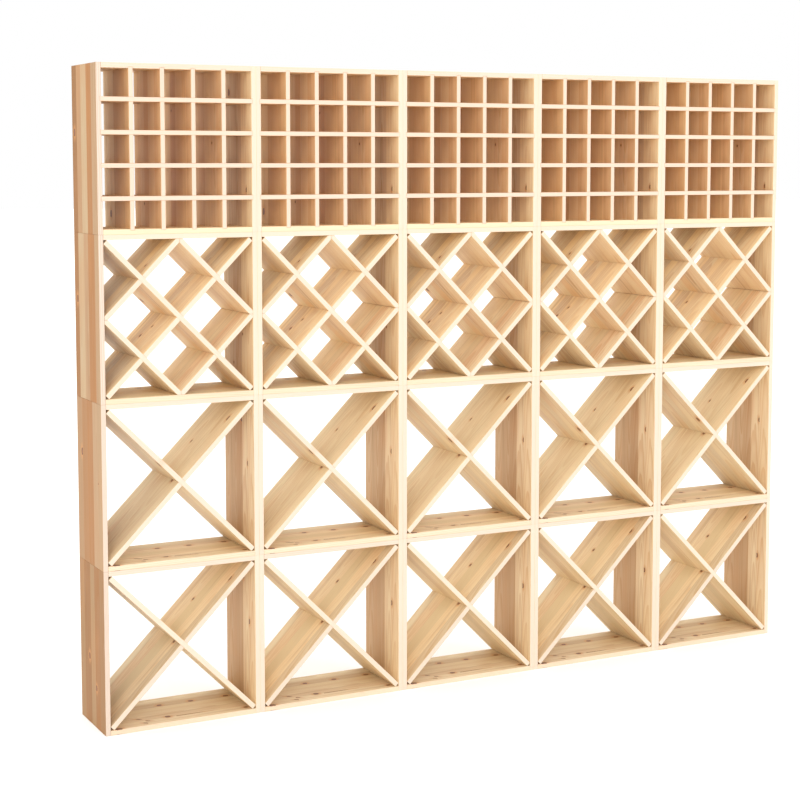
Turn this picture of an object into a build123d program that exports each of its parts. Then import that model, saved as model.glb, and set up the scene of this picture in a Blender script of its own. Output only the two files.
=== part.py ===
"""Modular pine wine rack: open box modules, five wide and four high, each with its own insert.

Frame: millimetres, +Z up, +X to the right, the open fronts face -Y.
The origin is on the floor, midway along the width and the depth of the whole rack.
Every board is a solid of its own. Boards of one case or one insert share a node.
"""

import os
from math import atan2, cos, degrees, hypot, radians, sin, tan

from build123d import *

# ---- driving dimensions -------------------------------------------------------------------------
COLUMNS = 5
ROWS_FROM_FLOOR = ["lower_cross", "upper_cross", "diamond", "grid"]

MODULE_WIDTH = 520.0
MODULE_HEIGHT = 520.0
MODULE_DEPTH = 250.0

CASE_THICKNESS = 16.0
DIAGONAL_THICKNESS = 16.0
GRID_THICKNESS = 14.0
EDGE_RADIUS = 1.0  # easing along the front and back edges of every board

GRID_CELLS_ACROSS = 5
GRID_CELLS_UP = 5
GROOVE_DEPTH = 4.0  # housing in the case for the ends of the grid boards

DOWEL_DIAMETER = 8.0
DOWELS_PER_CORNER = 3
DOWEL_EDGE_DISTANCE = 40.0  # from the front or back edge to the nearest dowel
FACE_HOLE_DEPTH = 10.0  # blind hole into the face of a board
END_HOLE_DEPTH = 25.0  # blind hole into the end of a board

# ---- named clearances ---------------------------------------------------------------------------
LAP_CLEARANCE = 0.2  # total play of a half lap, across the notch and at its bottom
GROOVE_CLEARANCE = 0.3  # total play across a groove
END_CLEARANCE = 0.3  # at each end of an insert board
HOLE_CLEARANCE = 0.05  # between a dowel and its hole, on the radius
DOWEL_END_GAP = 0.5  # glue gap at each end of a dowel

# ---- derived sizes ------------------------------------------------------------------------------
ROWS = len(ROWS_FROM_FLOOR)
INNER_WIDTH = MODULE_WIDTH - 2 * CASE_THICKNESS
INNER_HEIGHT = MODULE_HEIGHT - 2 * CASE_THICKNESS
SLOPE = degrees(atan2(INNER_HEIGHT, INNER_WIDTH))  # of every diagonal, above the horizontal

GRID_CELL_WIDTH = (INNER_WIDTH - (GRID_CELLS_ACROSS - 1) * GRID_THICKNESS) / GRID_CELLS_ACROSS
GRID_CELL_HEIGHT = (INNER_HEIGHT - (GRID_CELLS_UP - 1) * GRID_THICKNESS) / GRID_CELLS_UP
GRID_PITCH_ACROSS = GRID_CELL_WIDTH + GRID_THICKNESS
GRID_PITCH_UP = GRID_CELL_HEIGHT + GRID_THICKNESS

HOLE_RADIUS = DOWEL_DIAMETER / 2 + HOLE_CLEARANCE
CORNER_DOWEL_LENGTH = FACE_HOLE_DEPTH + END_HOLE_DEPTH - 2 * DOWEL_END_GAP
FACE_DOWEL_LENGTH = 2 * (FACE_HOLE_DEPTH - DOWEL_END_GAP)
DOWEL_REACH = MODULE_DEPTH - 2 * DOWEL_EDGE_DISTANCE
CORNER_DOWEL_Y = [
    -DOWEL_REACH / 2 + n * DOWEL_REACH / (DOWELS_PER_CORNER - 1) for n in range(DOWELS_PER_CORNER)
]


def module_centre(column: int, row: int) -> tuple[float, float]:
    """X and Z of the middle of a module; column and row count from the left and from the floor."""
    x = (column - (COLUMNS - 1) / 2) * MODULE_WIDTH
    z = (row + 0.5) * MODULE_HEIGHT
    return x, z


def centred_steps(count: int, pitch: float) -> list[float]:
    """Evenly spaced offsets, symmetric about zero."""
    return [(n - (count - 1) / 2) * pitch for n in range(count)]


GROOVE_X = centred_steps(GRID_CELLS_ACROSS - 1, GRID_PITCH_ACROSS)
GROOVE_Z = centred_steps(GRID_CELLS_UP - 1, GRID_PITCH_UP)
# Face dowels stand one grid pitch off the module's middle, halfway between two grid grooves.
STACKING_DOWEL_X = [-GRID_PITCH_ACROSS, GRID_PITCH_ACROSS]
SIDE_DOWEL_Z = [-GRID_PITCH_UP, GRID_PITCH_UP]


# ---- boards of a case ---------------------------------------------------------------------------
def side_board(column: int, row: int, side: int) -> Part:
    """Full-height side of a case; side is -1 for the left board and +1 for the right one."""
    x, z = module_centre(column, row)
    board_x = x + side * (MODULE_WIDTH - CASE_THICKNESS) / 2
    inner_x = x + side * INNER_WIDTH / 2
    outer_x = x + side * MODULE_WIDTH / 2
    with BuildPart() as board:
        with BuildSketch(Plane.XY.offset(z - MODULE_HEIGHT / 2)):
            with Locations((board_x, 0)):
                RectangleRounded(CASE_THICKNESS, MODULE_DEPTH, EDGE_RADIUS)
        extrude(amount=MODULE_HEIGHT)
        with Locations(*corner_dowel_places(inner_x, z)):
            Cylinder(HOLE_RADIUS, 2 * FACE_HOLE_DEPTH, rotation=(0, 90, 0), mode=Mode.SUBTRACT)
        if 0 <= column + side < COLUMNS:
            with Locations(*side_dowel_places(outer_x, z)):
                Cylinder(HOLE_RADIUS, 2 * FACE_HOLE_DEPTH, rotation=(0, 90, 0), mode=Mode.SUBTRACT)
        if ROWS_FROM_FLOOR[row] == "grid":
            with Locations(*[(inner_x, 0, z + step) for step in GROOVE_Z]):
                Box(2 * GROOVE_DEPTH, MODULE_DEPTH, GRID_THICKNESS + GROOVE_CLEARANCE, mode=Mode.SUBTRACT)
    return board.part


def level_board(column: int, row: int, level: int) -> Part:
    """Floor board (level -1) or top board (level +1) of a case, between its sides."""
    x, z = module_centre(column, row)
    board_z = z + level * (MODULE_HEIGHT - CASE_THICKNESS) / 2
    inner_z = z + level * INNER_HEIGHT / 2
    outer_z = z + level * MODULE_HEIGHT / 2
    with BuildPart() as board:
        with BuildSketch(Plane.YZ.offset(x - INNER_WIDTH / 2)):
            with Locations((0, board_z)):
                RectangleRounded(MODULE_DEPTH, CASE_THICKNESS, EDGE_RADIUS)
        extrude(amount=INNER_WIDTH)
        with Locations(*[(x + side * INNER_WIDTH / 2, y, board_z) for side in (-1, 1) for y in CORNER_DOWEL_Y]):
            Cylinder(HOLE_RADIUS, 2 * END_HOLE_DEPTH, rotation=(0, 90, 0), mode=Mode.SUBTRACT)
        if 0 <= row + level < ROWS:
            with Locations(*stacking_dowel_places(x, outer_z)):
                Cylinder(HOLE_RADIUS, 2 * FACE_HOLE_DEPTH, mode=Mode.SUBTRACT)
        if ROWS_FROM_FLOOR[row] == "grid":
            with Locations(*[(x + step, 0, inner_z) for step in GROOVE_X]):
                Box(GRID_THICKNESS + GROOVE_CLEARANCE, MODULE_DEPTH, 2 * GROOVE_DEPTH, mode=Mode.SUBTRACT)
    return board.part


def case_boards(column: int, row: int) -> list[Part]:
    """The four boards of one open box."""
    sides = [side_board(column, row, side) for side in (-1, 1)]
    levels = [level_board(column, row, level) for level in (-1, 1)]
    return sides + levels


# ---- dowels -------------------------------------------------------------------------------------
def corner_dowel_places(face_x: float, z: float) -> list[tuple[float, float, float]]:
    """Where dowels cross the inner face of a side board, at its floor and top corners."""
    heights = [z + level * (MODULE_HEIGHT - CASE_THICKNESS) / 2 for level in (-1, 1)]
    return [(face_x, y, height) for height in heights for y in CORNER_DOWEL_Y]


def stacking_dowel_places(x: float, face_z: float) -> list[tuple[float, float, float]]:
    """Where dowels cross the joint between a module and the one above it, front left and back right."""
    return [(x + step, (1 if step > 0 else -1) * DOWEL_REACH / 2, face_z) for step in STACKING_DOWEL_X]


def side_dowel_places(face_x: float, z: float) -> list[tuple[float, float, float]]:
    """Where dowels cross the joint between a module and its neighbour, lower front and upper back."""
    return [(face_x, (1 if step > 0 else -1) * DOWEL_REACH / 2, z + step) for step in SIDE_DOWEL_Z]


def dowel(length: float, middle: tuple[float, float, float], axis: Axis) -> Part:
    """One plain round dowel pin with chamfered ends, centred on a point."""
    end_chamfer = DOWEL_DIAMETER / 8
    with BuildPart() as pin:
        with BuildSketch(Plane(origin=middle, z_dir=axis.direction)):
            Circle(DOWEL_DIAMETER / 2)
        extrude(amount=length / 2, both=True)
        chamfer(pin.faces().filter_by(GeomType.PLANE).edges(), end_chamfer)
    return pin.part


def corner_dowels(row: int) -> list[Part]:
    """All dowels that join the boards of the cases in one row."""
    pins = []
    # The hole in the end of a board is deeper than the one in the side's face, so the pin sits off the joint.
    inset = (END_HOLE_DEPTH - FACE_HOLE_DEPTH) / 2
    for column in range(COLUMNS):
        x, z = module_centre(column, row)
        for side in (-1, 1):
            middle_x = x + side * (INNER_WIDTH / 2 - inset)
            for place in corner_dowel_places(middle_x, z):
                pins.append(dowel(CORNER_DOWEL_LENGTH, place, Axis.X))
    return pins


def stacking_dowels() -> list[Part]:
    """All upright dowels between stacked modules."""
    pins = []
    for row in range(ROWS - 1):
        for column in range(COLUMNS):
            x, z = module_centre(column, row)
            for place in stacking_dowel_places(x, z + MODULE_HEIGHT / 2):
                pins.append(dowel(FACE_DOWEL_LENGTH, place, Axis.Z))
    return pins


def side_dowels() -> list[Part]:
    """All level dowels between neighbouring columns."""
    pins = []
    for row in range(ROWS):
        for column in range(COLUMNS - 1):
            x, z = module_centre(column, row)
            for place in side_dowel_places(x + MODULE_WIDTH / 2, z):
                pins.append(dowel(FACE_DOWEL_LENGTH, place, Axis.X))
    return pins


# ---- diagonal boards ----------------------------------------------------------------------------
def diagonal_direction(rise: int) -> Vector:
    """Unit vector to the right along a diagonal; rise is +1 for a rising board, -1 for a falling one."""
    return Vector(cos(radians(SLOPE)), 0, rise * sin(radians(SLOPE)))


def lap_cutter(middle: tuple[float, float], rise: int) -> Part:
    """Room that a board leaves for the one it crosses: half the depth, from the other board's side.

    Rising boards are notched from the front and falling boards from the back, so that the falling
    boards run through at the front.
    """
    half_depth = (MODULE_DEPTH + LAP_CLEARANCE) / 2
    cut_y = -rise * (MODULE_DEPTH / 2 - half_depth / 2)
    other = Plane(origin=(middle[0], cut_y, middle[1]), x_dir=(0, 1, 0), z_dir=diagonal_direction(-rise))
    with BuildPart() as cutter:
        with BuildSketch(other):
            Rectangle(half_depth, DIAGONAL_THICKNESS + LAP_CLEARANCE)
        extrude(amount=2 * DIAGONAL_THICKNESS, both=True)
    return cutter.part


def full_diagonal(column: int, row: int, rise: int, laps: list[tuple[float, float]]) -> Part:
    """Corner-to-corner board with square ends that stop where their arrises meet the case."""
    x, z = module_centre(column, row)
    steepest = max(tan(radians(SLOPE)), 1 / tan(radians(SLOPE)))
    corner_gap = DIAGONAL_THICKNESS / 2 * steepest + END_CLEARANCE
    length = hypot(INNER_WIDTH, INNER_HEIGHT) - 2 * corner_gap
    across = Plane(origin=(x, 0, z), x_dir=(0, 1, 0), z_dir=diagonal_direction(rise))
    with BuildPart() as board:
        with BuildSketch(across):
            RectangleRounded(MODULE_DEPTH, DIAGONAL_THICKNESS, EDGE_RADIUS)
        extrude(amount=length / 2, both=True)
        for lap in laps:
            add(lap_cutter(lap, rise), mode=Mode.SUBTRACT)
    return board.part


def short_diagonal(column: int, row: int, side: int, level: int) -> Part:
    """Board between the middles of two neighbouring walls, mitred to the next short board at each end.

    It lies in one quarter of the case: side is -1 for left, +1 for right; level is -1 for the lower
    half, +1 for the upper half.
    """
    x, z = module_centre(column, row)
    rise = -side * level
    middle = (x + side * INNER_WIDTH / 4, z + level * INNER_HEIGHT / 4)
    across = Plane(origin=(middle[0], 0, middle[1]), x_dir=(0, 1, 0), z_dir=diagonal_direction(rise))
    with BuildPart() as board:
        with BuildSketch(across):
            RectangleRounded(MODULE_DEPTH, DIAGONAL_THICKNESS, EDGE_RADIUS)
        extrude(amount=hypot(INNER_WIDTH, INNER_HEIGHT) / 2, both=True)
        with Locations((middle[0], 0, middle[1])):
            Box(
                INNER_WIDTH / 2 - 2 * END_CLEARANCE,
                MODULE_DEPTH,
                INNER_HEIGHT / 2 - 2 * END_CLEARANCE,
                mode=Mode.INTERSECT,
            )
        add(lap_cutter(middle, rise), mode=Mode.SUBTRACT)
    return board.part


def diamond_insert(column: int, row: int) -> list[Part]:
    """Two full diagonals and four short ones, half lapped wherever they cross."""
    x, z = module_centre(column, row)
    boards = []
    for rise in (-1, 1):
        quarters = [(x + side * INNER_WIDTH / 4, z + side * rise * INNER_HEIGHT / 4) for side in (-1, 1)]
        boards.append(full_diagonal(column, row, rise, [(x, z), *quarters]))
    for side in (-1, 1):
        for level in (-1, 1):
            boards.append(short_diagonal(column, row, side, level))
    return boards


# ---- grid boards --------------------------------------------------------------------------------
def grid_shelf(column: int, row: int, step: float) -> Part:
    """Horizontal grid board, housed in the case sides and notched from the back."""
    x, z = module_centre(column, row)
    length = INNER_WIDTH + 2 * (GROOVE_DEPTH - END_CLEARANCE)
    half_depth = (MODULE_DEPTH + LAP_CLEARANCE) / 2
    notch_y = (MODULE_DEPTH - half_depth) / 2
    with BuildPart() as shelf:
        with BuildSketch(Plane.YZ.offset(x - length / 2)):
            with Locations((0, z + step)):
                RectangleRounded(MODULE_DEPTH, GRID_THICKNESS, EDGE_RADIUS)
        extrude(amount=length)
        with Locations(*[(x + across, notch_y, z + step) for across in GROOVE_X]):
            Box(GRID_THICKNESS + LAP_CLEARANCE, half_depth, 2 * GRID_THICKNESS, mode=Mode.SUBTRACT)
    return shelf.part


def grid_upright(column: int, row: int, step: float) -> Part:
    """Vertical grid board, housed in the floor and top boards and notched from the front."""
    x, z = module_centre(column, row)
    length = INNER_HEIGHT + 2 * (GROOVE_DEPTH - END_CLEARANCE)
    half_depth = (MODULE_DEPTH + LAP_CLEARANCE) / 2
    notch_y = (half_depth - MODULE_DEPTH) / 2
    with BuildPart() as upright:
        with BuildSketch(Plane.XY.offset(z - length / 2)):
            with Locations((x + step, 0)):
                RectangleRounded(GRID_THICKNESS, MODULE_DEPTH, EDGE_RADIUS)
        extrude(amount=length)
        with Locations(*[(x + step, notch_y, z + up) for up in GROOVE_Z]):
            Box(2 * GRID_THICKNESS, half_depth, GRID_THICKNESS + LAP_CLEARANCE, mode=Mode.SUBTRACT)
    return upright.part


def grid_insert(column: int, row: int) -> list[Part]:
    """Shelves and uprights of one pigeon-hole grid."""
    shelves = [grid_shelf(column, row, step) for step in GROOVE_Z]
    uprights = [grid_upright(column, row, step) for step in GROOVE_X]
    return shelves + uprights


# ---- the rack -----------------------------------------------------------------------------------
def write_node(name: str, solids: list[Part]) -> None:
    """Label one node and write it as a STEP file."""
    node = Compound(label=name, children=solids)
    export_step(node, f"parts/{name}.step")


os.makedirs("parts", exist_ok=True)

for row, style in enumerate(ROWS_FROM_FLOOR):
    for column in range(COLUMNS):
        number = column + 1
        write_node(f"{style}_case_{number}", case_boards(column, row))
        if style == "grid":
            write_node(f"grid_insert_{number}", grid_insert(column, row))
        elif style == "diamond":
            write_node(f"diamond_insert_{number}", diamond_insert(column, row))
        else:
            centre = module_centre(column, row)
            write_node(f"{style}_falling_board_{number}", [full_diagonal(column, row, -1, [centre])])
            write_node(f"{style}_rising_board_{number}", [full_diagonal(column, row, 1, [centre])])
    write_node(f"{style}_case_dowels", corner_dowels(row))

write_node("stacking_dowels", stacking_dowels())
write_node("side_dowels", side_dowels())
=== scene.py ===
"""Looks of a modular wine rack: open pine boxes with crossed, diamond and pigeon-hole inserts.

Frame: metres, +Z up, +X to the right, the open fronts face -Y, the origin on the floor midway along the
rack. Every board is sawn, notched, eased and glued up from strips here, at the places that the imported
frame gives, and one pine finish reads from each board how it was cut from the log.
"""

import logging
import math
import random
from collections.abc import Iterable, Mapping, Sequence
from dataclasses import dataclass, field, replace
from enum import Enum

import bmesh
import bpy
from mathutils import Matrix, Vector

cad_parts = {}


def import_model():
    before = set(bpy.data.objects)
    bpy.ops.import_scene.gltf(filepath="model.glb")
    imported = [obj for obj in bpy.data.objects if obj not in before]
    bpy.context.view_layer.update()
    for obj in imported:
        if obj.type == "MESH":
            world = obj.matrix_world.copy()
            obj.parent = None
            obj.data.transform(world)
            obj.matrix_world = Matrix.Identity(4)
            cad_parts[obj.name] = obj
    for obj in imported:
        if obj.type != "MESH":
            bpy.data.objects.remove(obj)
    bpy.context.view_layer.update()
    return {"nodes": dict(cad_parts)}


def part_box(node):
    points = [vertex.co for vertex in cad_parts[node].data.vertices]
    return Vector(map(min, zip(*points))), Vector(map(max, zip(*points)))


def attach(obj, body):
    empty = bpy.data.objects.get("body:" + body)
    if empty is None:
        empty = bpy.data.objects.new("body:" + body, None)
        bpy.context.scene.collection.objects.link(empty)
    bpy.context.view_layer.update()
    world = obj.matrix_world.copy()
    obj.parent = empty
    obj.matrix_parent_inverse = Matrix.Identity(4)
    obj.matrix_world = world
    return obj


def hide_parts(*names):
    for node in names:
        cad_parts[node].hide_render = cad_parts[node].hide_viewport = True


LOG = logging.getLogger("wine_rack")

BODY = "root"
ACROSS = Vector((0.0, 1.0, 0.0))  # every board lies with its width from front to back
CASE_THICKNESS = 0.016
GRID_BOARDS = 4  # shelves, and uprights, of a pigeon-hole grid
CLOSE = 1e-6  # two places nearer than this are one


# ---- named choices ----
class Row(Enum):
    """The four kinds of row, named as in the frame, from the floor up."""

    LOWER_CROSS = "lower_cross"
    UPPER_CROSS = "upper_cross"
    DIAMOND = "diamond"
    GRID = "grid"


class Rise(Enum):
    """Which way a diagonal board runs, seen from the front, going to the right."""

    FALLING = -1
    RISING = 1


class Notched(Enum):
    """The long edge that a half lap is sawn from."""

    FRONT = -1
    BACK = 1


class Field(Enum):
    """Corner data of a board that the pine finish reads."""

    GRAIN = "grain_place"
    MARK = "mark_place"
    STRIP = "strip_tone"
    KIND = "face_kind"


# ---- objects ----
def in_scene(name: str, data: bpy.types.ID, towards: Vector | None = None) -> bpy.types.Object:
    """Put a new object in the scene.

    Args:
        name: its name.
        data: its mesh, lamp or camera.
        towards: the direction that a lamp or a camera faces.

    Returns:
        The object.
    """
    obj = bpy.data.objects.new(name, data)
    bpy.context.scene.collection.objects.link(obj)
    if towards is not None:
        obj.rotation_mode = "QUATERNION"
        obj.rotation_quaternion = towards.to_track_quat("-Z", "Y")
    return obj


# ---- timber ----
@dataclass(frozen=True)
class Mark:
    """A knot, a spike knot or a drying check in a board's face.

    Attributes:
        along: share of the board's length, from the end that its grain starts at.
        back: share of the board's width, from its front edge.
        radius: half its width in metres.
        stretch: how many times longer than wide it is.
        turn: angle of its length to the grain, in degrees.
    """

    along: float
    back: float
    radius: float
    stretch: float = 1.0
    turn: float = 0.0


@dataclass(frozen=True)
class Strip:
    """One stave of an edge-glued board.

    Attributes:
        front: where it starts across the board, in metres from the board's middle.
        back: where it ends.
        tone: lighter above zero and darker below.
        warmth: redder above zero and greener below.
        seed: a number of its own from 0 to 1.
        start: where along the log it was cut, in metres.
        heart: where the log's heart lies from the strip's middle, across and through the board.
        lean: how far the heart drifts across and through, per metre of length.
    """

    front: float
    back: float
    tone: float
    warmth: float
    seed: float
    start: float
    heart: tuple[float, float]
    lean: tuple[float, float]

    @property
    def middle(self) -> float:
        """Middle of the strip across the board."""
        return (self.front + self.back) / 2


@dataclass(frozen=True)
class Timber:
    """How a board's blank was chosen and glued up.

    Attributes:
        seed: what its strips are drawn from.
        tones: tone and warmth of its strips from the front edge to the back, or none to draw them; on some
            sides they hold painted shade.
        marks: the knots and checks that it is known to have.
        stray_knots: how many more knots are drawn at random, at most.
        shade: tone that all its strips share; on many boards it holds painted light.
        glow: warmth that all its strips share.
        pale_edge: how pale its front and back edges are, from 0 to 1.
    """

    seed: str
    tones: tuple[tuple[float, float], ...] = ()
    marks: tuple[Mark, ...] = ()
    stray_knots: int = 2
    shade: float = 0.0
    glow: float = 0.0
    pale_edge: float = 1.0

    STRIP_WIDTH = 0.050
    STRIP_SHARES = (0.75, 1.25)  # narrowest and widest strip against the others
    TONE_SPREAD = 0.30
    WARMTH_SPREAD = 0.32
    HEART_ACROSS = 0.02  # the log's heart lies up to this far across from a strip's middle
    HEART_THROUGH = (0.022, 0.08)  # and between these two distances over or under it
    LEAN_ACROSS = 0.02
    LEAN_THROUGH = 0.035
    LOG_LENGTH = 40.0
    STRAY_PLACES = ((0.05, 0.95), (0.06, 0.94))  # shares of the length and the width
    STRAY_RADII = (0.0025, 0.003, 0.0045, 0.0065)
    STRAY_STRETCH = (1.0, 1.6)
    STRAY_TURN = 25.0

    def strips(self, depth: float) -> list[Strip]:
        """Draw the strips that fill a board.

        Args:
            depth: the board's width from front to back.

        Returns:
            The strips from the front edge to the back edge.
        """
        dice = random.Random(f"strips {self.seed}")
        count = len(self.tones) or round(depth / self.STRIP_WIDTH)
        widths = [dice.uniform(*self.STRIP_SHARES) for _ in range(count)]
        scale = depth / sum(widths)
        found, front = [], -depth / 2
        for number, width in enumerate(widths):
            drawn = (dice.gauss(0, self.TONE_SPREAD), dice.gauss(0, self.WARMTH_SPREAD))
            tone, warmth = self.tones[number] if self.tones else drawn
            across = dice.uniform(-self.HEART_ACROSS, self.HEART_ACROSS)
            heart = (across, dice.choice((-1, 1)) * dice.uniform(*self.HEART_THROUGH))
            lean_across = dice.uniform(-self.LEAN_ACROSS, self.LEAN_ACROSS)
            lean = (lean_across, dice.uniform(-self.LEAN_THROUGH, self.LEAN_THROUGH))
            seed, start = dice.random(), dice.uniform(0, self.LOG_LENGTH)
            back = front + width * scale
            tone, warmth = tone + self.shade, warmth + self.glow
            found.append(Strip(front, back, tone, warmth, seed, start, heart, lean))
            front = back
        return found

    def all_marks(self) -> list[Mark]:
        """The known marks and the ones drawn at random."""
        dice = random.Random(f"knots {self.seed}")
        stray = [
            Mark(
                along=dice.uniform(*self.STRAY_PLACES[0]),
                back=dice.uniform(*self.STRAY_PLACES[1]),
                radius=dice.choice(self.STRAY_RADII),
                stretch=dice.uniform(*self.STRAY_STRETCH),
                turn=dice.uniform(-self.STRAY_TURN, self.STRAY_TURN),
            )
            for _ in range(dice.randint(0, self.stray_knots) if self.stray_knots else 0)
        ]
        return [*self.marks, *stray]


# ---- boards ----
@dataclass(frozen=True)
class Notch:
    """A half lap in a board.

    Attributes:
        at: where its middle lies along the board, in metres from the board's middle.
        width: its size along the board.
        depth: how far it is sawn in from the edge.
        edge: the edge it is sawn from.
    """

    at: float
    width: float
    depth: float
    edge: Notched


@dataclass(frozen=True)
class Groove:
    """A housing across a board's inner face, from the front edge to the back edge."""

    at: float
    width: float
    depth: float


@dataclass(frozen=True)
class MitrePlane:
    """A plane that a board is cut off at; everything on the side its normal points to goes."""

    point: Vector
    normal: Vector


def dip(first: float, last: float, rim: float, root: float) -> list[tuple[float, float]]:
    """The four corners of a square dip in a straight edge, in the order that they are walked."""
    return [(first, rim), (first, root), (last, root), (last, rim)]


@dataclass(frozen=True)
class Board:
    """One board. Its own axes are u along the grain, v from front to back and w through it.

    Attributes:
        length: size along the grain.
        depth: size from front to back.
        thickness: size through the board.
        middle: its middle in the rack's frame.
        along: unit vector of the grain in the rack's frame.
        timber: how its blank was glued up.
        notches: its half laps.
        grooves: its housings, all in the face that w points out of.
        mitres: planes in the rack's frame that its ends are cut at.
        arris: size of the easing along its front and back edges.
        end_arris: size of the easing round its ends, laps and housings.
    """

    length: float
    depth: float
    thickness: float
    middle: Vector
    along: Vector
    timber: Timber
    notches: tuple[Notch, ...] = ()
    grooves: tuple[Groove, ...] = ()
    mitres: tuple[MitrePlane, ...] = ()
    arris: float = 0.0012
    end_arris: float = 0.0004

    ARRIS_STEPS = 3
    SHARP = math.radians(40)  # an edge that turns by more than this is eased

    @property
    def through(self) -> Vector:
        """Unit vector of w in the rack's frame."""
        return self.along.cross(ACROSS).normalized()

    def own(self, direction: Vector) -> Vector:
        """A direction of the rack's frame in the board's own axes."""
        return Vector((direction.dot(self.along), direction.dot(ACROSS), direction.dot(self.through)))

    def placed(self, point: Vector) -> Vector:
        """A point of the board's own axes in the rack's frame."""
        return self.middle + self.along * point.x + ACROSS * point.y + self.through * point.z

    def lapped_outline(self) -> list[Vector]:
        """Outline of the wide face, with its half laps, at the lower face of the board."""
        half = self.length / 2
        corners = []
        for side in (Notched.FRONT, Notched.BACK):
            run = -side.value  # the front edge is walked to the right and the back edge to the left
            rim = side.value * self.depth / 2
            corners.append((-run * half, rim))
            for notch in sorted((n for n in self.notches if n.edge is side), key=lambda n: run * n.at):
                first, last = notch.at - run * notch.width / 2, notch.at + run * notch.width / 2
                corners += dip(first, last, rim, rim - side.value * notch.depth)
            corners.append((run * half, rim))
        return [Vector((u, v, -self.thickness / 2)) for u, v in corners]

    def grooved_outline(self) -> list[Vector]:
        """Outline of the front edge, with its housings, at the front of the board."""
        half, rim = self.length / 2, self.thickness / 2
        corners = [(half, -rim), (-half, -rim), (-half, rim)]
        for groove in sorted(self.grooves, key=lambda g: g.at):
            first, last = groove.at - groove.width / 2, groove.at + groove.width / 2
            corners += dip(first, last, rim, rim - groove.depth)
        corners.append((half, rim))
        return [Vector((u, -self.depth / 2, w)) for u, w in corners]

    def sawn(self) -> bmesh.types.BMesh:
        """Saw the blank: its outline swept through, then its mitred ends.

        Returns:
            The sharp-edged board in its own axes.
        """
        bm = bmesh.new()
        if self.grooves:
            outline, sweep = self.grooved_outline(), Vector((0, self.depth, 0))
        else:
            outline, sweep = self.lapped_outline(), Vector((0, 0, self.thickness))
        face = bm.faces.new([bm.verts.new(point) for point in outline])
        grown = bmesh.ops.extrude_face_region(bm, geom=[face])["geom"]
        bmesh.ops.translate(bm, vec=sweep, verts=[g for g in grown if isinstance(g, bmesh.types.BMVert)])
        for mitre in self.mitres:
            cut = bmesh.ops.bisect_plane(
                bm,
                geom=[*bm.verts, *bm.edges, *bm.faces],
                plane_co=self.own(mitre.point - self.middle),
                plane_no=self.own(mitre.normal),
                clear_outer=True,
            )["geom_cut"]
            rim = [g for g in cut if isinstance(g, bmesh.types.BMEdge)]
            if rim:
                bmesh.ops.edgeloop_fill(bm, edges=rim)
        bmesh.ops.recalc_face_normals(bm, faces=bm.faces)
        return bm

    def ease(self, bm: bmesh.types.BMesh) -> None:
        """Ease the arrises: the long front and back edges first, then ends, laps and housings.

        Args:
            bm: the sawn board, changed in place.
        """

        def is_long(edge: bmesh.types.BMEdge) -> bool:
            """Whether an edge runs along the board's front or back edge."""
            ends = [v.co for v in edge.verts]
            on_rim = all(abs(abs(co.y) - self.depth / 2) < CLOSE for co in ends)
            return on_rim and abs(ends[0].z - ends[1].z) < CLOSE

        long_edges = [e for e in bm.edges if is_long(e) and e.calc_face_angle(0) > self.SHARP]
        bmesh.ops.bevel(
            bm, geom=long_edges, offset=self.arris, segments=self.ARRIS_STEPS, profile=0.5, affect="EDGES"
        )
        others = [e for e in bm.edges if e.calc_face_angle(0) > self.SHARP]
        bmesh.ops.bevel(bm, geom=others, offset=self.end_arris, segments=1, profile=0.5, affect="EDGES")

    def marks_in(self, strip: Strip) -> list[tuple[Mark, float, float]]:
        """The marks of one strip with their places, in order along the grain.

        Args:
            strip: the strip to look in.

        Returns:
            Each mark with its u and v in the board's own axes.
        """
        placed = [
            (mark, (mark.along - 0.5) * self.length, (mark.back - 0.5) * self.depth)
            for mark in self.timber.all_marks()
        ]
        inside = [found for found in placed if strip.front <= found[2] < strip.back]
        return sorted(inside, key=lambda found: found[1])

    def divide(self, bm: bmesh.types.BMesh, strips: Sequence[Strip]) -> None:
        """Score the faces along the glue lines, and between two marks of one strip.

        Args:
            bm: the eased board, changed in place.
            strips: the strips from front to back.
        """
        for strip in strips[1:]:
            bmesh.ops.bisect_plane(
                bm,
                geom=[*bm.verts, *bm.edges, *bm.faces],
                plane_co=Vector((0, strip.front, 0)),
                plane_no=ACROSS,
            )
        for strip in strips:
            places = [u for _, u, _ in self.marks_in(strip)]
            for first, second in zip(places, places[1:]):
                faces = [f for f in bm.faces if strip.front < f.calc_center_median().y < strip.back]
                edges = {e for f in faces for e in f.edges}
                verts = {v for f in faces for v in f.verts}
                bmesh.ops.bisect_plane(
                    bm,
                    geom=[*verts, *edges, *faces],
                    plane_co=Vector(((first + second) / 2, 0, 0)),
                    plane_no=Vector((1, 0, 0)),
                )


NO_MARK = (1.0, 1.0, 0.0)  # a mark that is far off and has no size


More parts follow.
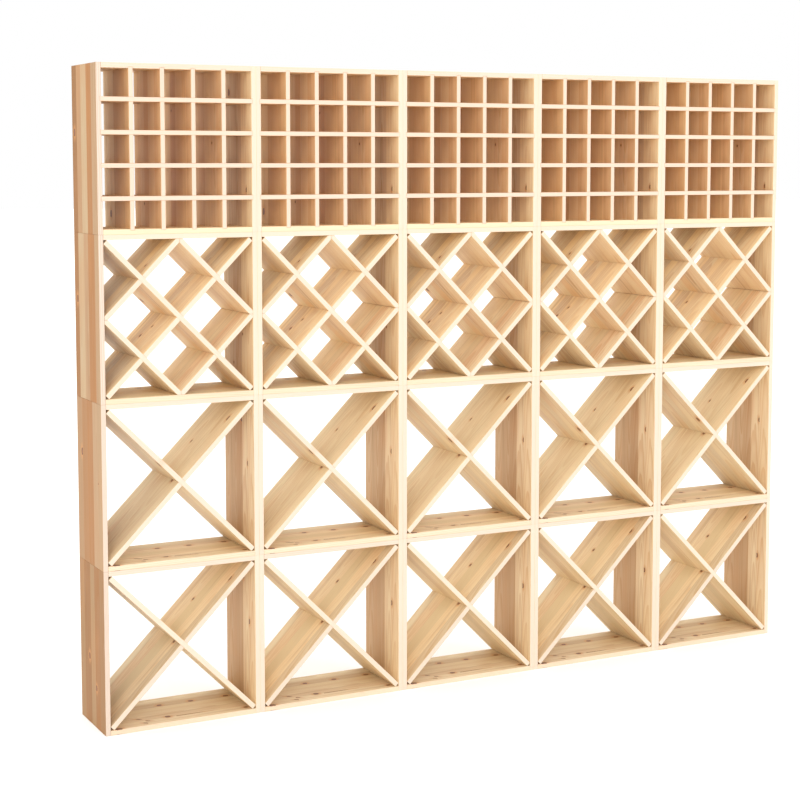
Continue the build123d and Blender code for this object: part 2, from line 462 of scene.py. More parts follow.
@dataclass
class Stack:
    """Boards gathered into one mesh, with the corner data that the finish reads.

    Attributes:
        name: name of the piece.
        points: vertex places in the rack's frame.
        faces: vertex numbers of every face.
        data: three numbers a face corner for each field.
    """

    name: str
    points: list[Vector] = field(default_factory=list)
    faces: list[list[int]] = field(default_factory=list)
    data: dict[Field, list[float]] = field(default_factory=lambda: {kind: [] for kind in Field})

    def add(self, board: Board) -> None:
        """Make a board and lay it on the stack.

        Args:
            board: the board to add.
        """
        strips = board.timber.strips(board.depth)
        marks = [board.marks_in(strip) for strip in strips]
        bm = board.sawn()
        board.ease(bm)
        board.divide(bm, strips)
        bm.normal_update()
        first = len(self.points)
        bm.verts.index_update()
        self.points += [board.placed(v.co) for v in bm.verts]
        for face in bm.faces:
            middle = face.calc_center_median()
            number = next((n for n, s in enumerate(strips) if middle.y < s.back), len(strips) - 1)
            strip = strips[number]
            mark = min(marks[number], key=lambda found: abs(found[1] - middle.x), default=None)
            kind = (face.normal.y**2 * board.timber.pale_edge, face.normal.x**2, 0.0)
            self.faces.append([first + v.index for v in face.verts])
            for vert in face.verts:
                self.data[Field.GRAIN] += self.grain_place(vert.co, strip)
                self.data[Field.MARK] += self.mark_place(vert.co, mark)
                self.data[Field.STRIP] += (strip.tone, strip.warmth, strip.seed)
                self.data[Field.KIND] += kind
        bm.free()

    @staticmethod
    def grain_place(co: Vector, strip: Strip) -> tuple[float, float, float]:
        """Where a corner lies in the log: along it, and across and through from its heart."""
        return (
            strip.start + co.x,
            co.y - strip.middle - strip.heart[0] + strip.lean[0] * co.x,
            co.z - strip.heart[1] + strip.lean[1] * co.x,
        )

    @staticmethod
    def mark_place(co: Vector, found: tuple[Mark, float, float] | None) -> tuple[float, float, float]:
        """Where a corner lies from its mark.

        Args:
            co: the corner in the board's own axes.
            found: the mark with its u and v, or none.

        Returns:
            Its place along and across the mark, with the mark drawn round, and the mark's radius.
        """
        if found is None:
            return NO_MARK
        mark, u, v = found
        turn = math.radians(mark.turn)
        du, dv = co.x - u, co.y - v
        length = (du * math.cos(turn) + dv * math.sin(turn)) / mark.stretch
        return (length, dv * math.cos(turn) - du * math.sin(turn), mark.radius)

    def piece(self, material: bpy.types.Material, replaced: Iterable[str]) -> bpy.types.Object:
        """Turn the stack into a piece of the rack.

        Args:
            material: its finish.
            replaced: the frame's nodes that it stands for.

        Returns:
            The new object, riding on the rack.
        """
        mesh = bpy.data.meshes.new(self.name)
        mesh.from_pydata([tuple(p) for p in self.points], [], self.faces)
        for kind, numbers in self.data.items():
            mesh.attributes.new(kind.value, "FLOAT_VECTOR", "CORNER").data.foreach_set("vector", numbers)
        mesh.materials.append(material)
        mesh.update()
        obj = in_scene(self.name, mesh)
        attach(obj, BODY)
        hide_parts(*replaced)
        LOG.info("%s: %d faces for %s", self.name, len(mesh.polygons), ", ".join(replaced))
        return obj


# ---- shader maths ----
Value = "Wire | float | tuple[float, ...]"  # what an input socket takes


@dataclass(frozen=True)
class Wire:
    """One output socket; each operator on it adds a Math node.

    Attributes:
        graph: the graph that it belongs to.
        socket: the socket itself, or none after a node that ends the graph.
    """

    graph: "Graph"
    socket: bpy.types.NodeSocket | None

    def maths(self, operation: str, *values: Value, clamp: bool = False) -> "Wire":
        """Add a Math node.

        Args:
            operation: what it works out.
            values: its inputs in order.
            clamp: whether the result is held between 0 and 1.

        Returns:
            Its result.
        """
        settings = {"operation": operation, "use_clamp": clamp}
        return self.graph.node("ShaderNodeMath", settings, dict(enumerate(values)))

    def __add__(self, other: Value) -> "Wire":
        """Sum."""
        return self.maths("ADD", self, other)

    __radd__ = __add__

    def __sub__(self, other: Value) -> "Wire":
        """Difference."""
        return self.maths("SUBTRACT", self, other)

    def __rsub__(self, other: Value) -> "Wire":
        """Difference from a number."""
        return self.maths("SUBTRACT", other, self)

    def __mul__(self, other: Value) -> "Wire":
        """Product."""
        return self.maths("MULTIPLY", self, other)

    __rmul__ = __mul__

    def __truediv__(self, other: Value) -> "Wire":
        """Quotient."""
        return self.maths("DIVIDE", self, other)

    def __rtruediv__(self, other: Value) -> "Wire":
        """A number divided by this."""
        return self.maths("DIVIDE", other, self)

    def __pow__(self, power: Value) -> "Wire":
        """Power."""
        return self.maths("POWER", self, power)

    def fraction(self) -> "Wire":
        """What is left after the whole number."""
        return self.maths("FRACT", self)

    def held(self) -> "Wire":
        """This, held between 0 and 1."""
        return self.maths("ADD", self, 0.0, clamp=True)

    def step(self, low: float, high: float) -> "Wire":
        """A smooth rise from 0 to 1.

        Args:
            low: where it leaves 0.
            high: where it reaches 1; below low, the step falls instead.

        Returns:
            The share from 0 to 1.
        """
        settings = {"interpolation_type": "SMOOTHSTEP"}
        ends = (low, high, 0.0, 1.0) if low < high else (high, low, 1.0, 0.0)
        return self.graph.node("ShaderNodeMapRange", settings, dict(enumerate((self, *ends))))

    def parts(self) -> tuple["Wire", "Wire", "Wire"]:
        """The three numbers of a vector."""
        first = self.graph.node("ShaderNodeSeparateXYZ", {}, {0: self})
        return tuple(Wire(self.graph, socket) for socket in first.socket.node.outputs)

    def scaled(self, by: tuple[float, float, float]) -> "Wire":
        """A vector, stretched along each axis."""
        return self.graph.node("ShaderNodeVectorMath", {"operation": "MULTIPLY"}, {0: self, 1: by})


class Graph:
    """The shader of one finish."""

    def __init__(self, name: str) -> None:
        """Start an empty material.

        Args:
            name: the finish's name.
        """
        self.material = bpy.data.materials.new(name)
        self.material.use_nodes = True
        self.tree = self.material.node_tree
        self.tree.nodes.clear()

    def node(
        self,
        kind: str,
        settings: Mapping[str, object] | None = None,
        feeds: Mapping[int | str, Value] | None = None,
        output: int | str = 0,
    ) -> Wire:
        """Add any node.

        Args:
            kind: its type.
            settings: its properties, set first.
            feeds: a value or a wire for each input socket.
            output: the socket to go on from.

        Returns:
            The chosen output.
        """
        node = self.tree.nodes.new(kind)
        for key, value in (settings or {}).items():
            setattr(node, key, value)
        for key, value in (feeds or {}).items():
            if isinstance(value, Wire):
                self.tree.links.new(value.socket, node.inputs[key])
            else:
                node.inputs[key].default_value = value
        return Wire(self, node.outputs[output] if node.outputs else None)

    def corner_data(self, kind: Field) -> Wire:
        """The data that each board's corners hold."""
        return self.node("ShaderNodeAttribute", {"attribute_name": kind.value}, {}, "Vector")

    def noise(self, place: Wire, scale: float, detail: float = 2.0, roughness: float = 0.5) -> Wire:
        """Cloudy noise from 0 to 1.

        Args:
            place: where it is read.
            scale: how fine it is.
            detail: how many finer layers it has.
            roughness: how strong the finer layers are.

        Returns:
            The noise.
        """
        feeds = {"Vector": place, "Scale": scale, "Detail": detail, "Roughness": roughness}
        return self.node("ShaderNodeTexNoise", {}, feeds)

    def blend(self, share: Value, under: Value, over: Value) -> Wire:
        """Mix two colours.

        Args:
            share: how much of the second, from 0 to 1.
            under: the first colour.
            over: the second colour.

        Returns:
            The mixed colour.
        """
        return self.node("ShaderNodeMix", {"data_type": "RGBA"}, {0: share, 6: under, 7: over}, 2)

    def surface(self, looks: Mapping[str, Value]) -> bpy.types.Material:
        """End the graph with a plain shader.

        Args:
            looks: a value or a wire for each named socket of the shader.

        Returns:
            The finished material.
        """
        shader = self.node("ShaderNodeBsdfPrincipled", {}, looks)
        self.node("ShaderNodeOutputMaterial", {}, {"Surface": shader})
        return self.material


def srgb(red: int, green: int, blue: int) -> tuple[float, float, float, float]:
    """A screen colour, 0 to 255, as the linear colour that shaders use.

    Args:
        red: red.
        green: green.
        blue: blue.

    Returns:
        Linear red, green, blue and a full alpha.
    """

    def linear(level: int) -> float:
        """One channel."""
        share = level / 255
        return share / 12.92 if share <= 0.04045 else ((share + 0.055) / 1.055) ** 2.4

    return linear(red), linear(green), linear(blue), 1.0


# ---- finishes ----
@dataclass(frozen=True)
class PineFinish:
    """Planed, unvarnished pine that shows its rings, strips, knots and checks.

    Attributes:
        early: pale wood between the ring lines.
        late: the ring lines.
        light, dark: what a strip leans to above and below the middle tone.
        red, green: what a strip leans to when it is warm or cool.
        edge: cream of the eased front and back edges.
        knot, knot_rim, halo: heart, bark ring and resin-stained surround of a knot.
        ring_spacing: distance between two ring lines; strips have closest_rings times this, and
            up to ring_spread times this more.
        wander, ripple: how far the rings stray from round, slowly and quickly.
        tone_pull, warmth_pull: how far a strip leans to a colour for each step of tone or warmth.
        streaks, clouds, fibres: how strongly dark streaks, red clouds and fine fibres show.
        edge_cover: how far the cream covers the front and back edges.
        roughness: how matt the plain wood is.
        relief: height of the raised grain.
    """

    early: tuple[float, ...] = srgb(236, 216, 182)
    late: tuple[float, ...] = srgb(204, 158, 106)
    light: tuple[float, ...] = srgb(252, 221, 168)
    dark: tuple[float, ...] = srgb(150, 104, 58)
    red: tuple[float, ...] = srgb(198, 134, 76)
    green: tuple[float, ...] = srgb(208, 190, 148)
    edge: tuple[float, ...] = srgb(213, 196, 180)
    knot: tuple[float, ...] = srgb(128, 72, 32)
    knot_rim: tuple[float, ...] = srgb(58, 30, 16)
    halo: tuple[float, ...] = srgb(204, 142, 84)
    ring_spacing: float = 0.0036
    closest_rings: float = 0.8
    ring_spread: float = 0.6
    wander: float = 0.010
    ripple: float = 0.0016
    tone_pull: float = 0.55
    warmth_pull: float = 0.42
    streaks: float = 0.34
    clouds: float = 0.22
    fibres: float = 0.28
    edge_cover: float = 0.92
    roughness: float = 0.62
    relief: float = 0.0006

    # How fine each kind of noise is along, across and through the log.
    WANDER_SCALE = (2.2, 14.0, 14.0)
    RIPPLE_SCALE = (14.0, 60.0, 60.0)
    STREAK_SCALE = (1.4, 46.0, 46.0)
    FIBRE_SCALE = (9.0, 620.0, 620.0)
    CLOUD_SCALE = (3.0, 9.0, 9.0)
    KNOT_SCALE = 260.0
    SMALLEST_MARK = 1e-5  # added to a mark's radius, which is 0 on a board without marks

    def rings(self, graph: Graph, place: Wire, off: Wire, push: Wire, seed: Wire) -> Wire:
        """Ring lines of the log, bent round the mark.

        Args:
            graph: the shader.
            place: place in the log.
            off: how far across the mark is.
            push: how strongly the mark pushes the grain aside.
            seed: the strip's own number.

        Returns:
            How much of each point is ring line, from 0 to 1.
        """
        _, across, through = place.parts()
        across = across - off * push
        wander = graph.noise(place.scaled(self.WANDER_SCALE), 1.0, 2.0) - 0.5
        ripple = graph.noise(place.scaled(self.RIPPLE_SCALE), 1.0, 1.0) - 0.5
        radius = (across * across + through * through) ** 0.5 + wander * self.wander + ripple * self.ripple
        closest, spread = self.ring_spacing * self.closest_rings, self.ring_spacing * self.ring_spread
        saw = (radius / (closest + seed * spread)).fraction()
        return saw.step(0.25, 0.93) * saw.step(1.0, 0.94)

    def material(self) -> bpy.types.Material:
        """Build the finish.

        Returns:
            The material for every board.
        """
        graph = Graph("planed_pine")
        place = graph.corner_data(Field.GRAIN)
        along_mark, off_mark, mark_radius = graph.corner_data(Field.MARK).parts()
        tone, warmth, seed = graph.corner_data(Field.STRIP).parts()
        rim_face, end_face, _ = graph.corner_data(Field.KIND).parts()

        # A mark: how many radii away each point is, and how the grain flows round it.
        wobble = graph.noise(place, self.KNOT_SCALE, 1.0) - 0.5
        distance = (along_mark * along_mark + off_mark * off_mark) ** 0.5
        radii = distance / (mark_radius + self.SMALLEST_MARK) * (wobble * 0.35 + 1.0)
        push = (radii * radii + 0.8) ** -1.0 * radii.step(7.0, 3.0)
        knot = radii.step(1.06, 0.94)
        bark = radii.step(0.62, 0.95) * radii.step(1.25, 1.0)
        halo = radii.step(3.4, 1.0)
        knot_ring = (radii * 3.2 + wobble).fraction().step(0.2, 0.9)

        # The wood: rings, then the strip's own colour, then what varies along the log.
        late = self.rings(graph, place, off_mark, push, seed)
        streak = graph.noise(place.scaled(self.STREAK_SCALE), 1.0, 3.0, 0.6)
        fibre = graph.noise(place.scaled(self.FIBRE_SCALE), 1.0, 3.0, 0.65)
        cloud = graph.noise(place.scaled(self.CLOUD_SCALE), 1.0, 2.0)
        colour = graph.blend(late * (streak * 0.5 + 0.25), self.early, self.late)
        for lean, pull, above, below in (
            (tone, self.tone_pull, self.light, self.dark),
            (warmth, self.warmth_pull, self.red, self.green),
        ):
            colour = graph.blend((lean * pull).held(), colour, above)
            colour = graph.blend((lean * -pull).held(), colour, below)
        colour = graph.blend(streak.step(0.52, 0.78) * self.streaks, colour, self.dark)
        colour = graph.blend(cloud.step(0.45, 0.75) * self.clouds, colour, self.red)
        colour = graph.blend(fibre.step(0.5, 0.85) * self.fibres, colour, self.late)
        colour = graph.blend(rim_face * (1.0 - late * 0.3) * self.edge_cover, colour, self.edge)
        colour = graph.blend(end_face * (late * 0.4 + 0.2), colour, self.dark)
        colour = graph.blend(halo * 0.6, colour, self.halo)
        colour = graph.blend(knot * (1.0 - knot_ring * 0.25), colour, self.knot)
        colour = graph.blend(bark * 0.85, colour, self.knot_rim)

        # What the plane left: raised fibres and rings, proud knots and sunken bark.
        height = fibre * 0.5 + late * 0.35 + knot * 0.3 - bark * 0.6
        feeds = {"Strength": 0.22, "Distance": self.relief, "Height": height}
        bump = graph.node("ShaderNodeBump", {}, feeds)
        roughness = self.roughness - late * 0.08 - knot * 0.1 + (fibre - 0.5) * 0.16
        looks = {"Base Color": colour, "Roughness": roughness, "Normal": bump}
        return graph.surface({**looks, "IOR": 1.45, "Specular IOR Level": 0.35})


@dataclass(frozen=True)
class FloorFinish:
    """Plain matt white studio floor.

    Attributes:
        paint, shade: its two whites, which drift into each other.
        patches: how fine that drift is.
        roughness: how matt it is.
    """

    paint: tuple[float, ...] = srgb(253, 253, 252)
    shade: tuple[float, ...] = srgb(251, 251, 250)
    patches: float = 0.8
    roughness: float = 0.9

    def material(self) -> bpy.types.Material:
        """Build the finish.

        Returns:
            The material of the floor.
        """
        graph = Graph("studio_floor")
        place = graph.node("ShaderNodeNewGeometry", {}, {}, "Position")
        colour = graph.blend(graph.noise(place, self.patches), self.paint, self.shade)
        return graph.surface({"Base Color": colour, "Roughness": self.roughness})


# ---- modules ----
@dataclass(frozen=True)
class Module:
    """One open box of the rack and its place, read from the frame.

    Attributes:
        row: the kind of row that it stands in.
        number: its column, counted from the left from 1.
        low: its lowest corner.
        high: its highest corner.
    """

    row: Row
    number: int
    low: Vector
    high: Vector

    SHADE_SPREAD = 0.08

    @classmethod
    def from_frame(cls, row: Row, number: int) -> "Module":
        """Read a module's box from the frame."""
        return cls(row, number, *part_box(f"{row.value}_case_{number}"))

    @property
    def centre(self) -> Vector:
        """Middle of the module."""
        return (self.low + self.high) / 2

    @property
    def size(self) -> Vector:
        """Width, depth and height of the module."""
        return self.high - self.low

    @property
    def crossed(self) -> bool:
        """Whether it holds two crossed planks."""
        return self.row in (Row.LOWER_CROSS, Row.UPPER_CROSS)

    def timber(self, part: str, **details: object) -> Timber:
        """The blank of one of its boards; modules of a row are sawn from matching blanks.

        Args:
            part: which board.
            details: anything known about the blank.

        Returns:
            The blank, a touch lighter or darker than in the other columns.
        """
        change = random.Random(f"shade {self.row.value} {part} {self.number}").gauss(0, self.SHADE_SPREAD)
        # The row's shared tone is painted light; the column's own drift below is random.
        blank = Timber(seed=f"{self.row.value} {part}", **({"shade": ROW_PAINTED_LIGHT[self.row]} | details))
        return replace(blank, shade=blank.shade + change)


@dataclass(frozen=True)
class OpenBox:
    """Case of one module: two full-height sides with a floor board and a top board between them.

    Attributes:
        module: the module.
        thickness: of all four boards.
        joint_gap: how far each end of the floor and top boards stands off the sides.
        groove_width, groove_depth, groove_pitch: sizes and spacing of the grid's housings.
    """

    module: Module
    thickness: float = CASE_THICKNESS
    joint_gap: float = 0.0001
    groove_width: float = 0.0143
    groove_depth: float = 0.004
    groove_pitch: float = 0.1004

    def grooves(self) -> tuple[Groove, ...]:
        """Housings of a board, which only the pigeon-hole row has."""
        steps = even_steps(GRID_BOARDS, self.groove_pitch) if self.module.row is Row.GRID else []
        return tuple(Groove(step, self.groove_width, self.groove_depth) for step in steps)

    def wall(self, out: Vector, length: float, part: str, details: Mapping[str, object]) -> Board:
        """One of the four boards.

        Args:
            out: unit vector towards it from the middle of the box.
            length: its length.
            part: what it is called.
            details: what is known of its blank.

        Returns:
            The board. Its grain runs so that w, and so its housings, face into the box.
        """
        module = self.module
        reach = (abs(module.size.dot(out)) - self.thickness) / 2
        return Board(
            length,
            module.size.y,
            self.thickness,
            module.centre + out * reach,
            out.cross(ACROSS),
            module.timber(part, **details),
            grooves=self.grooves(),
        )

    def side(self, hand: int) -> Board:
        """A side board.

        Args:
            hand: -1 for the left one and +1 for the right one.

        Returns:
            The board.
        """
        module = self.module
        outer = hand < 0 and module.number == 1
        details = OUTER_SIDES[module.row] if outer else SIDES[hand]
        if hand > 0 and module.crossed:
            details = details | CROSS_RIGHT_SIDE
        part = "outer side" if outer else f"side {hand}"
        return self.wall(Vector((hand, 0, 0)), module.size.z, part, details)

    def level(self, hand: int) -> Board:
        """The floor board or the top board.

        Args:
            hand: -1 for the floor board and +1 for the top board.

        Returns:
            The board.
        """
        module = self.module
        details = LEVELS[hand]
        if hand < 0 and module.crossed:
            details = details | CROSS_FLOOR
        length = module.size.x - 2 * self.thickness - 2 * self.joint_gap
        return self.wall(Vector((0, 0, hand)), length, f"level {hand}", details)

    def build(self, material: bpy.types.Material) -> bpy.types.Object:
        """Make the case and give it its finish.

        Args:
            material: the pine.

        Returns:
            The piece, which also stands for the dowels hidden in its joints.
        """
        row, number = self.module.row.value, self.module.number
        stack = Stack(f"{row}_box_{number}")
        for hand in (-1, 1):
            stack.add(self.side(hand))
            stack.add(self.level(hand))
        hidden = [f"{row}_case_dowels", "side_dowels", "stacking_dowels"]
        return stack.piece(material, [f"{row}_case_{number}", *hidden])


@dataclass(frozen=True)
class Insert:
    """What stands inside one module: boards that are half lapped where they cross.

    Attributes:
        module: the module.
        thickness: of the boards.
        end_gap: how far their ends stand off what they meet.
        lap_play: how much wider, and deeper in all, the half laps are than the boards.
    """

    module: Module
    thickness: float = 0.016
    end_gap: float = 0.0003
    lap_play: float = 0.0002

    @property
    def inner(self) -> tuple[float, float]:
        """Clear width and height of the module."""
        width, _, height = self.module.size
        return width - 2 * CASE_THICKNESS, height - 2 * CASE_THICKNESS

    def lap(self, at: float, edge: Notched) -> Notch:
        """A half lap, sawn from one edge at a place along the board."""
        return Notch(at, self.thickness + self.lap_play, (self.module.size.y + self.lap_play) / 2, edge)

    def build(self, material: bpy.types.Material) -> list[bpy.types.Object]:
        """Make the boards and give them their finish.

        Args:
            material: the pine.

        Returns:
            The pieces.
        """
        raise NotImplementedError


@dataclass(frozen=True)
class DiagonalSet(Insert):
    """Sawing of the diagonal boards of one module."""

    def direction(self, rise: Rise) -> Vector:
        """Unit vector along a board, to the right."""
        width, height = self.inner
        return Vector((width, 0, rise.value * height)).normalized()

    def diagonal_lap(self, at: float, rise: Rise) -> Notch:
        """Half lap: rising boards are sawn from the front, and falling ones from the back."""
        return self.lap(at, Notched.FRONT if rise is Rise.RISING else Notched.BACK)

    def full(self, rise: Rise, crossings: Iterable[float], timber: Timber) -> Board:
        """A board from corner to corner.

        Args:
            rise: which way it runs.
            crossings: where it crosses other boards, along it from its middle.
            timber: its blank.

        Returns:
            The board.
        """
        width, height = self.inner
        steepest = max(width / height, height / width)
        length = math.hypot(width, height) - 2 * (self.thickness / 2 * steepest + self.end_gap)
        return Board(
            length,
            self.module.size.y,
            self.thickness,
            self.module.centre,
            self.direction(rise),
            timber,
            notches=tuple(self.diagonal_lap(at, rise) for at in crossings),
        )


@dataclass(frozen=True)
class CrossInsert(DiagonalSet):
    """Two full diagonals, half lapped where they cross."""

    def build(self, material: bpy.types.Material) -> list[bpy.types.Object]:
        """Make both boards, each a piece of its own."""
        row, number = self.module.row.value, self.module.number
        made = []
        for rise in Rise:
            name = rise.name.lower()
            timber = self.module.timber(name, **PLANKS[rise])
            stack = Stack(f"{row}_{name}_plank_{number}")
            stack.add(self.full(rise, [0.0], timber))
            made.append(stack.piece(material, [f"{row}_{name}_board_{number}"]))
        return made


@dataclass(frozen=True)
class DiamondInsert(DiagonalSet):
    """Two full diagonals and four short ones that join the middles of the walls."""

    def short(self, side: int, level: int) -> Board:
        """A short diagonal.

        Args:
            side: -1 for the left half of the module and +1 for the right half.
            level: -1 for the lower half and +1 for the upper half.

        Returns:
            The board, mitred against the walls and the next short boards.
        """
        width, height = self.inner
        rise = Rise(-side * level)
        centre = self.module.centre
        middle = centre + Vector((side * width / 4, 0, level * height / 4))
        reach = Vector((width / 4 - self.end_gap, 0, height / 4 - self.end_gap))
        mitres = tuple(
            MitrePlane(middle + axis * sign * reach.dot(axis), axis * sign)
            for axis in (Vector((1, 0, 0)), Vector((0, 0, 1)))
            for sign in (-1, 1)
        )
        return Board(
            math.hypot(width, height) / 2,
            self.module.size.y,
            self.thickness,
            middle,
            self.direction(rise),
            self.module.timber(f"short {side} {level}", stray_knots=1),
            notches=(self.diagonal_lap(0.0, rise),),
            mitres=mitres,
        )

    def build(self, material: bpy.types.Material) -> list[bpy.types.Object]:
        """Make the lattice as one piece."""
        number = self.module.number
        quarter = math.hypot(*self.inner) / 4
        stack = Stack(f"diamond_lattice_{number}")
        for rise in Rise:
            timber = self.module.timber(rise.name.lower())
            stack.add(self.full(rise, [-quarter, 0.0, quarter], timber))
        for side in (-1, 1):
            for level in (-1, 1):
                stack.add(self.short(side, level))
        return [stack.piece(material, [f"diamond_insert_{number}"])]


@dataclass(frozen=True)
class PigeonGrid(Insert):
    """Four shelves and four uprights, half lapped into a grid.

    Attributes:
        housing: how deep the case's housings are that its ends stand in.
    """

    thickness: float = 0.014
    housing: float = 0.004

    def board(self, upright: bool, step_number: int) -> Board:
        """One shelf or upright.

        Args:
            upright: whether it stands.
            step_number: its place in its set, from the left or from below.

        Returns:
            The board; shelves are notched from the back and uprights from the front.
        """
        right, up = Vector((1, 0, 0)), Vector((0, 0, 1))
        width, height = self.inner
        clear, spread = (height, width) if upright else (width, height)  # along the board and across
        own_pitch, lap_pitch = ((size + self.thickness) / (GRID_BOARDS + 1) for size in (spread, clear))
        step = even_steps(GRID_BOARDS, own_pitch)[step_number]
        edge = Notched.FRONT if upright else Notched.BACK
        return Board(
            clear + 2 * (self.housing - self.end_gap),
            self.module.size.y,
            self.thickness,
            self.module.centre + (right if upright else up) * step,
            up if upright else right,
            self.module.timber(f"{'upright' if upright else 'shelf'} {step_number}", **GRID_BOARD),
            notches=tuple(self.lap(at, edge) for at in even_steps(GRID_BOARDS, lap_pitch)),
        )

    def build(self, material: bpy.types.Material) -> list[bpy.types.Object]:
        """Make the grid as one piece."""
        number = self.module.number
        stack = Stack(f"pigeon_grid_{number}")
        for upright in (False, True):
            for step_number in range(GRID_BOARDS):
                stack.add(self.board(upright, step_number))
        return [stack.piece(material, [f"grid_insert_{number}"])]


INSERTS: dict[Row, type[Insert]] = {
    Row.LOWER_CROSS: CrossInsert,
    Row.UPPER_CROSS: CrossInsert,
    Row.DIAMOND: DiamondInsert,
    Row.GRID: PigeonGrid,
}


def even_steps(count: int, pitch: float) -> list[float]:
    """Evenly spaced offsets, symmetric about zero.

    Args:
        count: how many.
        pitch: distance between two.

    Returns:
        The offsets, lowest first.
    """
    return [(n - (count - 1) / 2) * pitch for n in range(count)]


# ---- known blanks ----
# What is known of a board's blank, as fields of Timber. The grain starts at the top of left sides, at the
# bottom of right sides and at the left end of floors and planks.
# Some tones given in these tables are painted light or painted shade, as noted at each table.
def outer_side(tones: tuple[tuple[float, float], ...], *marks: Mark) -> dict[str, object]:
    """What is known of an outer side's blank, on which nothing is drawn at random.

    Args:
        tones: tone and warmth of its strips, from the front edge to the back; all are dark, which is
            painted shade.
        marks: its knots.

    Returns:
        The blank's fields.
    """
    return {"tones": tones, "marks": marks, "stray_knots": 0, "shade": 0.0}


# The outer left sides: their strips differ as glued-up staves do, and all of them are much darker than the
# other boards, which is painted shade.
OUTER_SIDES: dict[Row, dict[str, object]] = {
    Row.GRID: outer_side(
        ((-1.3, 0.0), (-1.8, 0.9), (-1.2, -0.5), (-1.4, 0.4), (-1.8, 0.0)),
        Mark(0.40, 0.90, 0.0065, 1.6),
    ),
    Row.DIAMOND: outer_side(
        ((-1.3, -0.1), (-1.8, 0.8), (-1.3, 0.2), (-1.2, -0.5), (-1.8, 0.2)),
        Mark(0.40, 0.88, 0.0065, 1.6),
    ),
    Row.UPPER_CROSS: outer_side(
        ((-1.5, -0.2), (-1.4, 0.1), (-1.9, 0.7), (-1.8, 0.5), (-1.6, 0.1)),
        Mark(0.33, 0.80, 0.0070, 1.5),
        Mark(0.48, 0.15, 0.003),
    ),
    Row.LOWER_CROSS: outer_side(
        ((-1.9, -0.2), (-2.2, 0.3), (-1.8, -0.5), (-2.1, 0.0), (-1.9, -0.3)),
        Mark(0.58, 0.62, 0.0065, 1.5),
        Mark(0.75, 0.35, 0.0060, 1.4),
    ),
}
# Left and right sides elsewhere; then what the right sides of crossed modules have besides.
SIDES: dict[int, dict[str, object]] = {
    -1: {},
    # Painted shade: the right sides' strips grow darker and warmer from the front edge to the back, where
    # the cells lie deeper in shade.
    1: {"tones": ((0.2, 0.0), (-0.1, 0.0), (-1.0, 0.4), (-0.9, 0.3), (-0.8, 0.3))},
}
CROSS_RIGHT_SIDE: dict[str, object] = {
    "marks": (Mark(0.83, 0.42, 0.0075, 1.2), Mark(0.56, 0.21, 0.0055, 1.4)),
    "stray_knots": 1,
}
# Floor boards and top boards; then what the floors of crossed modules have besides.
LEVELS: dict[int, dict[str, object]] = {-1: {"pale_edge": 0.55, "glow": -0.6}, 1: {}}
CROSS_FLOOR: dict[str, object] = {
    "marks": (
        Mark(0.058, 0.020, 0.0080, 1.2),
        Mark(0.240, 0.250, 0.0028, 4.5, -35),
        Mark(0.270, 0.170, 0.0026, 4.0, -30),
        Mark(0.255, 0.090, 0.0028, 3.5, -30),
        Mark(0.420, 0.210, 0.0070, 1.1),
        Mark(0.530, 0.185, 0.0016, 34.0),  # a drying check
        Mark(0.450, 0.700, 0.0055, 1.3),
        Mark(0.670, 0.690, 0.0060, 1.3),
        Mark(0.920, 0.685, 0.0060, 1.3),
        Mark(0.950, 0.115, 0.0050, 1.3),
    ),
    "stray_knots": 0,
}
# Both planks are a shared step paler, which is painted light inside the module; their warmth and knots are
# the wood's own.
PLANKS: dict[Rise, dict[str, object]] = {
    Rise.RISING: {
        "marks": (
            Mark(0.876, 0.17, 0.0065, 1.3),
            Mark(0.485, 0.22, 0.0050, 1.2),
            Mark(0.700, 0.62, 0.0040, 1.2),
        ),
        "stray_knots": 1,
        "shade": 0.5,
        "glow": -0.6,
    },
    Rise.FALLING: {"shade": 0.5, "glow": -0.5},
}
# Pigeon-hole boards are paler and warmer than the other boards: painted light and painted warm bounce
# light for the inside of the cells; their stray knot is the wood's own.
GRID_BOARD: dict[str, object] = {"stray_knots": 1, "shade": 1.1, "glow": 1.1}
# Tone that the boards of each row share where nothing else is known; it is painted light, paler on the
# rows whose cells are more closed in and so lie deeper in shade.
ROW_PAINTED_LIGHT: dict[Row, float] = {
    Row.LOWER_CROSS: 0.15,
    Row.UPPER_CROSS: 0.15,
    Row.DIAMOND: 0.6,
    Row.GRID: 0.8,
}


# ---- studio ----
@dataclass(frozen=True)
class SoftSun:
    """A wide, far lamp that lights the whole rack evenly.

    Attributes:
        name: its name.
        towards: the direction that its light travels in.
        strength: its light on a face square to it.
        spread: how wide it looks, in degrees, which softens the shadows.
    """

    name: str
    towards: tuple[float, float, float]
    strength: float
    spread: float

    def hang(self) -> bpy.types.Object:
        """Make the lamp.

        Returns:
            The lamp's object.
        """
        data = bpy.data.lights.new(self.name, "SUN")
        data.energy = self.strength
        data.angle = math.radians(self.spread)
        return in_scene(self.name, data, Vector(self.towards))


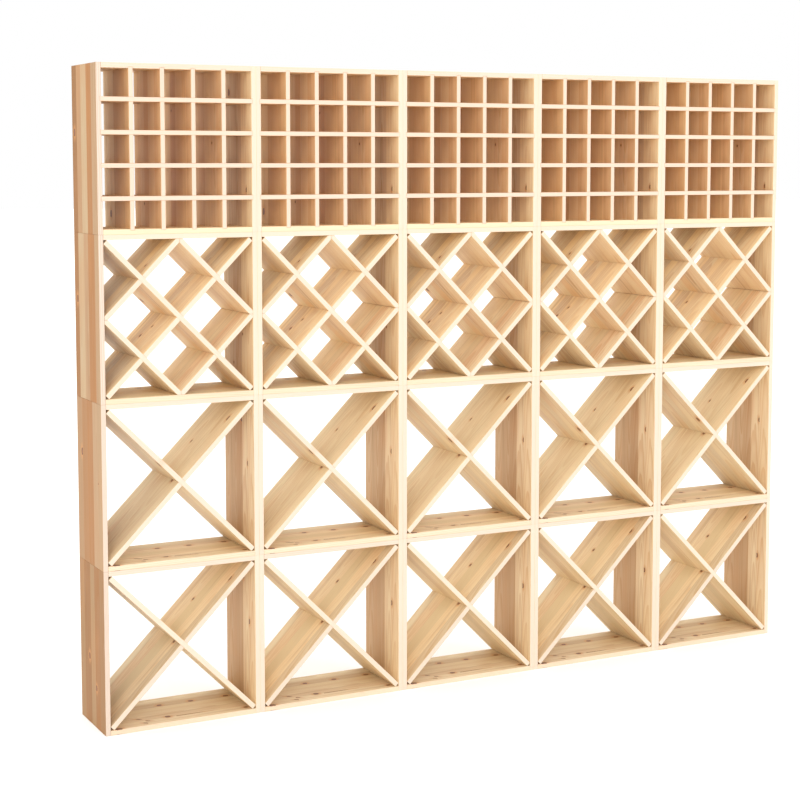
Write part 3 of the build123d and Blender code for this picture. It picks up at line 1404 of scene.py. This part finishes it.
@dataclass(frozen=True)
class Studio:
    """White studio with a camera at the front left of the rack.

    Attributes:
        camera_place: where the camera stands.
        heading: degrees that it looks to the right of straight at the fronts.
        tilt: degrees that it looks up, so below zero it looks down.
        lens: focal length in millimetres.
        shift_up: how far the lens is shifted up, as a share of the picture.
        floor_side: length and width of the floor.
        world_light: strength of the white room's light.
        lamps: the lamps.
    """

    camera_place: tuple[float, float, float] = (-2.894, -5.205, 1.778)
    heading: float = 27.31
    tilt: float = -5.19
    lens: float = 77.9
    shift_up: float = -0.10
    floor_side: float = 120.0
    world_light: float = 1.0
    lamps: tuple[SoftSun, ...] = (
        SoftSun("front_left_lamp", (0.32, 0.88, -0.38), 1.55, 50.0),
        SoftSun("top_lamp", (0.05, -0.05, -1.0), 1.1, 40.0),
    )

    FARTHEST = 200.0  # the camera sees nothing beyond this
    WHITE = (1.0, 1.0, 1.0, 1.0)

    def set_up(self) -> None:
        """Lay the floor, hang the lamps and place the camera."""
        self.lay_floor()
        for lamp in self.lamps:
            lamp.hang()
        self.light_world()
        self.place_camera()

    def lay_floor(self) -> None:
        """Lay the plain floor."""
        bm = bmesh.new()
        half = self.floor_side / 2
        corners = [(-half, -half, 0), (half, -half, 0), (half, half, 0), (-half, half, 0)]
        bm.faces.new([bm.verts.new(corner) for corner in corners])
        mesh = bpy.data.meshes.new("studio_floor")
        bm.to_mesh(mesh)
        bm.free()
        mesh.materials.append(FloorFinish().material())
        in_scene("studio_floor", mesh)

    def light_world(self) -> None:
        """Make the room plain white."""
        world = bpy.data.worlds.new("white_room")
        world.use_nodes = True
        backdrop = world.node_tree.nodes["Background"]
        backdrop.inputs["Color"].default_value = self.WHITE
        backdrop.inputs["Strength"].default_value = self.world_light
        bpy.context.scene.world = world
        bpy.context.scene.view_settings.view_transform = "Standard"

    def place_camera(self) -> None:
        """Place the camera and make it the scene's."""
        data = bpy.data.cameras.new("front_left_camera")
        data.lens = self.lens
        data.shift_y = self.shift_up
        data.clip_end = self.FARTHEST
        heading, tilt = math.radians(self.heading), math.radians(self.tilt)
        forward = Vector(
            (math.sin(heading) * math.cos(tilt), math.cos(heading) * math.cos(tilt), math.sin(tilt))
        )
        camera = in_scene("front_left_camera", data, forward)
        camera.location = self.camera_place
        bpy.context.scene.camera = camera


# ---- the rack ----
def main() -> None:
    """Build every piece in order and set up the studio."""
    logging.basicConfig(level=logging.INFO, format="%(name)s: %(message)s")
    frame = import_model()
    pine = PineFinish().material()
    columns = sum(node.removeprefix(f"{Row.GRID.value}_case_").isdigit() for node in frame["nodes"])
    for row in Row:
        for number in range(1, columns + 1):
            module = Module.from_frame(row, number)
            OpenBox(module).build(pine)
            INSERTS[row](module).build(pine)
    Studio().set_up()


if __name__ == "__main__":
    main()
